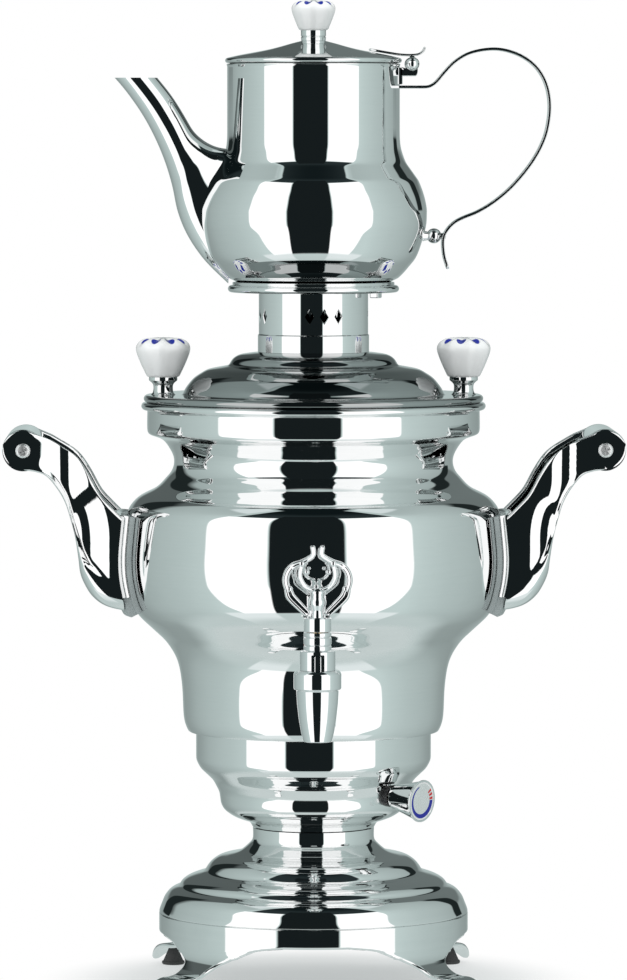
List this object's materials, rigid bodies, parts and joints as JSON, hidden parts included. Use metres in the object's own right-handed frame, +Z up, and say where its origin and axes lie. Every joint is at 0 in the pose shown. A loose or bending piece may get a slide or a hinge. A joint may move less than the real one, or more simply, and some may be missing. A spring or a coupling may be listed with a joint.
{
  "type": "electric samovar",
  "caption": "Electric samovar in mirror-polished steel with a stepped base, side handles, a front tap with an open key, a lift-off lid and a teapot on a pierced stand.",
  "frame": {"origin": "on the tank's axis at floor level, between the four feet", "axes": "+Z up along the tank's axis, -Y out of the front through the tap, +X to the right as seen from the front, towards the right handle"},
  "size_m": [0.331, 0.2355, 0.5262],
  "materials": {
    "mirror_steel": "mirror-polished stainless steel sheet",
    "mirror_casting": "mirror-polished casting",
    "plain_steel": "plain steel",
    "screw_steel": "bright screw",
    "chromed_brass": "brass with mirror chrome plating",
    "brass": "plain brass",
    "chromed_knob": "chromed plastic with a printed dial face",
    "black_plastic": "heat-proof black moulding",
    "white_ceramic": "white glaze with blue petals",
    "ceramic_body": "thermostat body",
    "silicone": "red silicone seal",
    "rubber": "dark rubber foot"
  },
  "bodies": {
    "housing": {"foot_ring": "mirror_casting", "glides": "rubber", "base_plate": "plain_steel", "base_screws": "plain_steel", "base_dome": "mirror_steel", "neck_bush": "plain_steel", "pedestal": "mirror_steel", "drum_studs": "plain_steel", "tank_shell": "mirror_steel", "tank_neck": "mirror_steel", "heater_element": "plain_steel", "heater_seals": "silicone", "heater_nuts": "brass", "thermal_cutout": "black_plastic", "thermostat": "ceramic_body", "thermostat_nut": "black_plastic", "mains_inlet": "black_plastic", "inlet_pins": "brass", "tap_boss": "plain_steel", "tap_washer": "silicone", "tap_body": "chromed_brass", "tap_nut": "brass", "tap_nozzle": "chromed_brass", "handle_pads": "black_plastic", "left_bracket": "mirror_casting", "right_bracket": "mirror_casting", "grip_bars": "mirror_steel", "grip_screws": "screw_steel", "handle_screws": "plain_steel"},
    "key": {"tap_plug": "brass", "tap_key": "chromed_brass"},
    "dial": {"dial_shaft": "plain_steel", "dial_knob": "chromed_knob"},
    "lid": {"main_lid": "mirror_steel", "lid_ferrules": "chromed_brass", "side_knobs": "white_ceramic", "side_knob_screws": "plain_steel"},
    "stand": {"collar": "mirror_steel", "tray_ring": "mirror_casting"},
    "teapot": {"pot_body": "mirror_steel", "spout": "mirror_steel", "pot_handle": "mirror_steel", "handle_ball": "mirror_steel", "hinge_bracket": "mirror_steel", "hinge_pin": "mirror_steel"},
    "teapot_lid": {"pot_lid": "mirror_steel", "lid_strap": "mirror_steel", "pot_ferrule": "chromed_brass", "pot_knob": "white_ceramic", "pot_knob_screw": "plain_steel"}
  },
  "joints": [
    {"name": "tap_turn", "type": "hinge", "parent": "housing", "child": "key", "pos_m": [0, -0.1215, 0.1905], "axis": [0, 0, 1], "range_deg": [0, 90]},
    {"name": "dial_turn", "type": "hinge", "parent": "housing", "child": "dial", "pos_m": [0.03956, -0.03203, 0.104], "axis": [0.7753, -0.6278, -0.0698], "range_deg": [0, 270]},
    {"name": "lid_lift", "type": "slide", "parent": "housing", "child": "lid", "axis": [0, 0, 1], "range_m": [0, 0.12]},
    {"name": "stand_lift", "type": "slide", "parent": "lid", "child": "stand", "axis": [0, 0, 1], "range_m": [0, 0.06]},
    {"name": "teapot_lift", "type": "slide", "parent": "stand", "child": "teapot", "axis": [0, 0, 1], "range_m": [0, 0.08]},
    {"name": "teapot_lid_open", "type": "hinge", "parent": "teapot", "child": "teapot_lid", "pos_m": [0.0525, 0, 0.4922], "axis": [0, 1, 0], "range_deg": [0, 95]}
  ]
}
